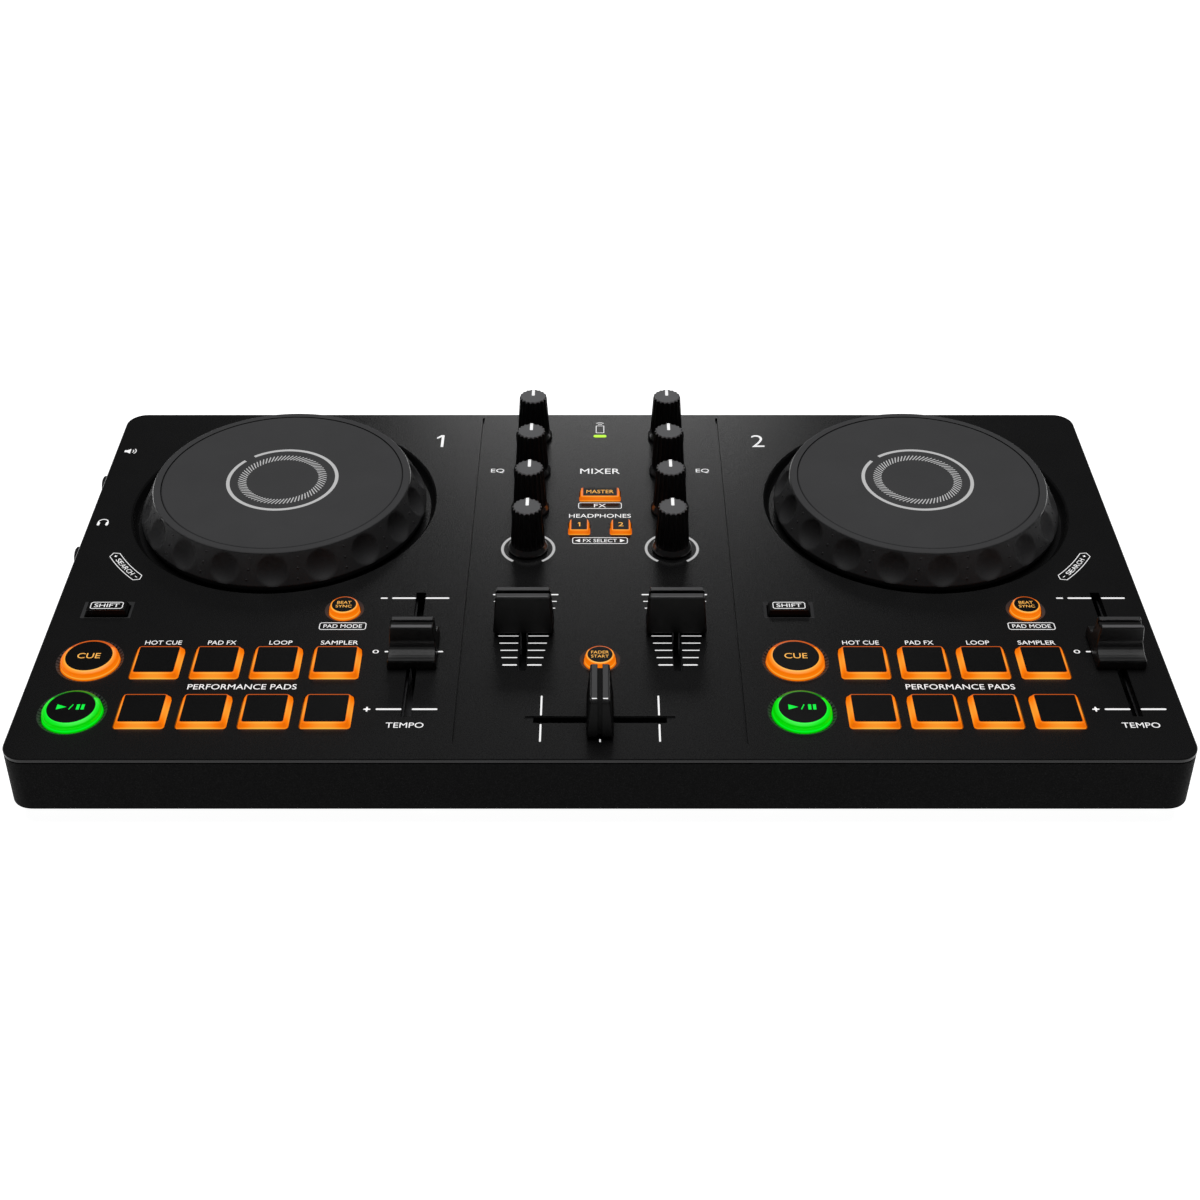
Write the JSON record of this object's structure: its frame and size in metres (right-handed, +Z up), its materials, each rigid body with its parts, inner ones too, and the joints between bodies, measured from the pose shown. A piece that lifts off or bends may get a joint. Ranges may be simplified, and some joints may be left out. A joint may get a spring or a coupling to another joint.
{
  "type": "dj controller",
  "caption": "Flat DJ controller with jog wheels, a mixer with knobs and faders, lit pads and round play and cue buttons, on rubber feet.",
  "frame": {"origin": "on the ground, under the middle of the whole part's bounding box", "axes": "+X to the right along the width, +Y to the back wall with the sockets, +Z up"},
  "size_m": [0.3884, 0.214, 0.0472],
  "materials": {
    "panel_plastic": "satin black moulded plastic with a fine grain",
    "case_plastic": "coarse sparkle texture, black",
    "wheel_plastic": "fine grained black",
    "platter_plastic": "smooth dark grey satin",
    "knob_plastic": "gloss black with a grey top",
    "cap_plastic": "semi gloss black",
    "amber_light": "lit amber translucent skirt under a black top",
    "green_light": "lit green translucent skirt under a black top",
    "black_button": "satin black",
    "circuit_board": "green solder mask",
    "silicone": "milky silicone",
    "unit_metal": "plated sheet steel",
    "pot_body": "blue-grey moulded body",
    "axle_steel": "turned steel",
    "socket_metal": "plated steel shell",
    "socket_plastic": "black moulded body",
    "foot_rubber": "black rubber",
    "screw_steel": "black zinc",
    "status_lens": "lit yellow-green lens"
  },
  "bodies": {
    "case": {"top_panel": "panel_plastic", "bottom_case": "case_plastic", "main_board": "circuit_board", "pad_keymats": "silicone", "fader_units": "unit_metal", "knob_potentiometers": "pot_body", "jog_axles": "axle_steel", "usb_sockets": "socket_metal", "phono_sockets": "socket_plastic", "headphone_socket": "socket_plastic", "rubber_feet": "foot_rubber", "case_screws": "screw_steel", "status_light": "status_lens"},
    "left_jog": {"left_jog_wheel": "wheel_plastic", "left_jog_platter": "platter_plastic"},
    "right_jog": {"right_jog_wheel": "wheel_plastic", "right_jog_platter": "platter_plastic"},
    "left_high_knob": {"left_high_knob": "knob_plastic"},
    "left_mid_knob": {"left_mid_knob": "knob_plastic"},
    "left_low_knob": {"left_low_knob": "knob_plastic"},
    "left_filter_knob": {"left_filter_knob": "knob_plastic"},
    "right_high_knob": {"right_high_knob": "knob_plastic"},
    "right_mid_knob": {"right_mid_knob": "knob_plastic"},
    "right_low_knob": {"right_low_knob": "knob_plastic"},
    "right_filter_knob": {"right_filter_knob": "knob_plastic"},
    "left_tempo_slider": {"left_tempo_slider": "cap_plastic"},
    "left_channel_fader": {"left_channel_fader": "cap_plastic"},
    "right_tempo_slider": {"right_tempo_slider": "cap_plastic"},
    "right_channel_fader": {"right_channel_fader": "cap_plastic"},
    "crossfader": {"crossfader": "cap_plastic"},
    "left_pad_1": {"left_pad_1": "amber_light"},
    "left_pad_2": {"left_pad_2": "amber_light"},
    "left_pad_3": {"left_pad_3": "amber_light"},
    "left_pad_4": {"left_pad_4": "amber_light"},
    "left_pad_5": {"left_pad_5": "amber_light"},
    "left_pad_6": {"left_pad_6": "amber_light"},
    "left_pad_7": {"left_pad_7": "amber_light"},
    "left_pad_8": {"left_pad_8": "amber_light"},
    "right_pad_1": {"right_pad_1": "amber_light"},
    "right_pad_2": {"right_pad_2": "amber_light"},
    "right_pad_3": {"right_pad_3": "amber_light"},
    "right_pad_4": {"right_pad_4": "amber_light"},
    "right_pad_5": {"right_pad_5": "amber_light"},
    "right_pad_6": {"right_pad_6": "amber_light"},
    "right_pad_7": {"right_pad_7": "amber_light"},
    "right_pad_8": {"right_pad_8": "amber_light"},
    "left_cue_button": {"left_cue_button": "amber_light"},
    "left_play_button": {"left_play_button": "green_light"},
    "left_sync_button": {"left_sync_button": "amber_light"},
    "left_shift_button": {"left_shift_button": "black_button"},
    "right_cue_button": {"right_cue_button": "amber_light"},
    "right_play_button": {"right_play_button": "green_light"},
    "right_sync_button": {"right_sync_button": "amber_light"},
    "right_shift_button": {"right_shift_button": "black_button"},
    "fader_start_button": {"fader_start_button": "amber_light"},
    "master_cue_button": {"master_cue_button": "amber_light"},
    "headphone_cue_1": {"headphone_cue_1": "amber_light"},
    "headphone_cue_2": {"headphone_cue_2": "amber_light"},
    "master_level_knob": {"master_level_knob": "knob_plastic"},
    "headphone_level_knob": {"headphone_level_knob": "knob_plastic"}
  },
  "joints": [
    {"name": "left_jog_spin", "type": "hinge", "parent": "case", "child": "left_jog", "pos_m": [-0.1185, 0.0394, 0.0322], "axis": [0, 0, 1], "continuous": true},
    {"name": "right_jog_spin", "type": "hinge", "parent": "case", "child": "right_jog", "pos_m": [0.1219, 0.0394, 0.0322], "axis": [0, 0, 1], "continuous": true},
    {"name": "left_high_knob_turn", "type": "hinge", "parent": "case", "child": "left_high_knob", "pos_m": [-0.0248, 0.0875, 0.0382], "axis": [0, 0, -1], "range_deg": [-150, 150]},
    {"name": "left_mid_knob_turn", "type": "hinge", "parent": "case", "child": "left_mid_knob", "pos_m": [-0.0248, 0.0615, 0.0382], "axis": [0, 0, -1], "range_deg": [-150, 150]},
    {"name": "left_low_knob_turn", "type": "hinge", "parent": "case", "child": "left_low_knob", "pos_m": [-0.0248, 0.0355, 0.0382], "axis": [0, 0, -1], "range_deg": [-150, 150]},
    {"name": "left_filter_knob_turn", "type": "hinge", "parent": "case", "child": "left_filter_knob", "pos_m": [-0.0248, 0.0095, 0.0382], "axis": [0, 0, -1], "range_deg": [-150, 150]},
    {"name": "right_high_knob_turn", "type": "hinge", "parent": "case", "child": "right_high_knob", "pos_m": [0.0282, 0.0875, 0.0382], "axis": [0, 0, -1], "range_deg": [-150, 150]},
    {"name": "right_mid_knob_turn", "type": "hinge", "parent": "case", "child": "right_mid_knob", "pos_m": [0.0282, 0.0615, 0.0382], "axis": [0, 0, -1], "range_deg": [-150, 150]},
    {"name": "right_low_knob_turn", "type": "hinge", "parent": "case", "child": "right_low_knob", "pos_m": [0.0282, 0.0355, 0.0382], "axis": [0, 0, -1], "range_deg": [-150, 150]},
    {"name": "right_filter_knob_turn", "type": "hinge", "parent": "case", "child": "right_filter_knob", "pos_m": [0.0282, 0.0095, 0.0382], "axis": [0, 0, -1], "range_deg": [-150, 150]},
    {"name": "left_tempo_slider_slide", "type": "slide", "parent": "case", "child": "left_tempo_slider", "axis": [0, -1, 0], "range_m": [-0.03, 0.03]},
    {"name": "left_channel_fader_slide", "type": "slide", "parent": "case", "child": "left_channel_fader", "axis": [0, 1, 0], "range_m": [-0.021, 0.021]},
    {"name": "right_tempo_slider_slide", "type": "slide", "parent": "case", "child": "right_tempo_slider", "axis": [0, -1, 0], "range_m": [-0.03, 0.03]},
    {"name": "right_channel_fader_slide", "type": "slide", "parent": "case", "child": "right_channel_fader", "axis": [0, 1, 0], "range_m": [-0.021, 0.021]},
    {"name": "crossfader_slide", "type": "slide", "parent": "case", "child": "crossfader", "axis": [1, 0, 0], "range_m": [-0.02, 0.02]},
    {"name": "left_pad_1_press", "type": "slide", "parent": "case", "child": "left_pad_1", "axis": [0, 0, -1], "range_m": [0, 0.0008], "stiffness_N_per_m": 800, "springref_m": -0.0006},
    {"name": "left_pad_2_press", "type": "slide", "parent": "case", "child": "left_pad_2", "axis": [0, 0, -1], "range_m": [0, 0.0008], "stiffness_N_per_m": 800, "springref_m": -0.0006},
    {"name": "left_pad_3_press", "type": "slide", "parent": "case", "child": "left_pad_3", "axis": [0, 0, -1], "range_m": [0, 0.0008], "stiffness_N_per_m": 800, "springref_m": -0.0006},
    {"name": "left_pad_4_press", "type": "slide", "parent": "case", "child": "left_pad_4", "axis": [0, 0, -1], "range_m": [0, 0.0008], "stiffness_N_per_m": 800, "springref_m": -0.0006},
    {"name": "left_pad_5_press", "type": "slide", "parent": "case", "child": "left_pad_5", "axis": [0, 0, -1], "range_m": [0, 0.0008], "stiffness_N_per_m": 800, "springref_m": -0.0006},
    {"name": "left_pad_6_press", "type": "slide", "parent": "case", "child": "left_pad_6", "axis": [0, 0, -1], "range_m": [0, 0.0008], "stiffness_N_per_m": 800, "springref_m": -0.0006},
    {"name": "left_pad_7_press", "type": "slide", "parent": "case", "child": "left_pad_7", "axis": [0, 0, -1], "range_m": [0, 0.0008], "stiffness_N_per_m": 800, "springref_m": -0.0006},
    {"name": "left_pad_8_press", "type": "slide", "parent": "case", "child": "left_pad_8", "axis": [0, 0, -1], "range_m": [0, 0.0008], "stiffness_N_per_m": 800, "springref_m": -0.0006},
    {"name": "right_pad_1_press", "type": "slide", "parent": "case", "child": "right_pad_1", "axis": [0, 0, -1], "range_m": [0, 0.0008], "stiffness_N_per_m": 800, "springref_m": -0.0006},
    {"name": "right_pad_2_press", "type": "slide", "parent": "case", "child": "right_pad_2", "axis": [0, 0, -1], "range_m": [0, 0.0008], "stiffness_N_per_m": 800, "springref_m": -0.0006},
    {"name": "right_pad_3_press", "type": "slide", "parent": "case", "child": "right_pad_3", "axis": [0, 0, -1], "range_m": [0, 0.0008], "stiffness_N_per_m": 800, "springref_m": -0.0006},
    {"name": "right_pad_4_press", "type": "slide", "parent": "case", "child": "right_pad_4", "axis": [0, 0, -1], "range_m": [0, 0.0008], "stiffness_N_per_m": 800, "springref_m": -0.0006},
    {"name": "right_pad_5_press", "type": "slide", "parent": "case", "child": "right_pad_5", "axis": [0, 0, -1], "range_m": [0, 0.0008], "stiffness_N_per_m": 800, "springref_m": -0.0006},
    {"name": "right_pad_6_press", "type": "slide", "parent": "case", "child": "right_pad_6", "axis": [0, 0, -1], "range_m": [0, 0.0008], "stiffness_N_per_m": 800, "springref_m": -0.0006},
    {"name": "right_pad_7_press", "type": "slide", "parent": "case", "child": "right_pad_7", "axis": [0, 0, -1], "range_m": [0, 0.0008], "stiffness_N_per_m": 800, "springref_m": -0.0006},
    {"name": "right_pad_8_press", "type": "slide", "parent": "case", "child": "right_pad_8", "axis": [0, 0, -1], "range_m": [0, 0.0008], "stiffness_N_per_m": 800, "springref_m": -0.0006},
    {"name": "left_cue_button_press", "type": "slide", "parent": "case", "child": "left_cue_button", "axis": [0, 0, -1], "range_m": [0, 0.001], "stiffness_N_per_m": 700, "springref_m": -0.0006},
    {"name": "left_play_button_press", "type": "slide", "parent": "case", "child": "left_play_button", "axis": [0, 0, -1], "range_m": [0, 0.001], "stiffness_N_per_m": 700, "springref_m": -0.0006},
    {"name": "left_sync_button_press", "type": "slide", "parent": "case", "child": "left_sync_button", "axis": [0, 0, -1], "range_m": [0, 0.001], "stiffness_N_per_m": 700, "springref_m": -0.0006},
    {"name": "left_shift_button_press", "type": "slide", "parent": "case", "child": "left_shift_button", "axis": [0, 0, -1], "range_m": [0, 0.001], "stiffness_N_per_m": 700, "springref_m": -0.0006},
    {"name": "right_cue_button_press", "type": "slide", "parent": "case", "child": "right_cue_button", "axis": [0, 0, -1], "range_m": [0, 0.001], "stiffness_N_per_m": 700, "springref_m": -0.0006},
    {"name": "right_play_button_press", "type": "slide", "parent": "case", "child": "right_play_button", "axis": [0, 0, -1], "range_m": [0, 0.001], "stiffness_N_per_m": 700, "springref_m": -0.0006},
    {"name": "right_sync_button_press", "type": "slide", "parent": "case", "child": "right_sync_button", "axis": [0, 0, -1], "range_m": [0, 0.001], "stiffness_N_per_m": 700, "springref_m": -0.0006},
    {"name": "right_shift_button_press", "type": "slide", "parent": "case", "child": "right_shift_button", "axis": [0, 0, -1], "range_m": [0, 0.001], "stiffness_N_per_m": 700, "springref_m": -0.0006},
    {"name": "fader_start_button_press", "type": "slide", "parent": "case", "child": "fader_start_button", "axis": [0, 0, -1], "range_m": [0, 0.001], "stiffness_N_per_m": 700, "springref_m": -0.0006},
    {"name": "master_cue_button_press", "type": "slide", "parent": "case", "child": "master_cue_button", "axis": [0, 0, -1], "range_m": [0, 0.001], "stiffness_N_per_m": 700, "springref_m": -0.0006},
    {"name": "headphone_cue_1_press", "type": "slide", "parent": "case", "child": "headphone_cue_1", "axis": [0, 0, -1], "range_m": [0, 0.001], "stiffness_N_per_m": 700, "springref_m": -0.0006},
    {"name": "headphone_cue_2_press", "type": "slide", "parent": "case", "child": "headphone_cue_2", "axis": [0, 0, -1], "range_m": [0, 0.001], "stiffness_N_per_m": 700, "springref_m": -0.0006},
    {"name": "master_level_knob_turn", "type": "hinge", "parent": "case", "child": "master_level_knob", "pos_m": [-0.1908, 0.0642, 0.0192], "axis": [-1, 0, 0], "range_deg": [-150, 150]},
    {"name": "headphone_level_knob_turn", "type": "hinge", "parent": "case", "child": "headphone_level_knob", "pos_m": [-0.1908, 0.0158, 0.0192], "axis": [-1, 0, 0], "range_deg": [-150, 150]}
  ]
}
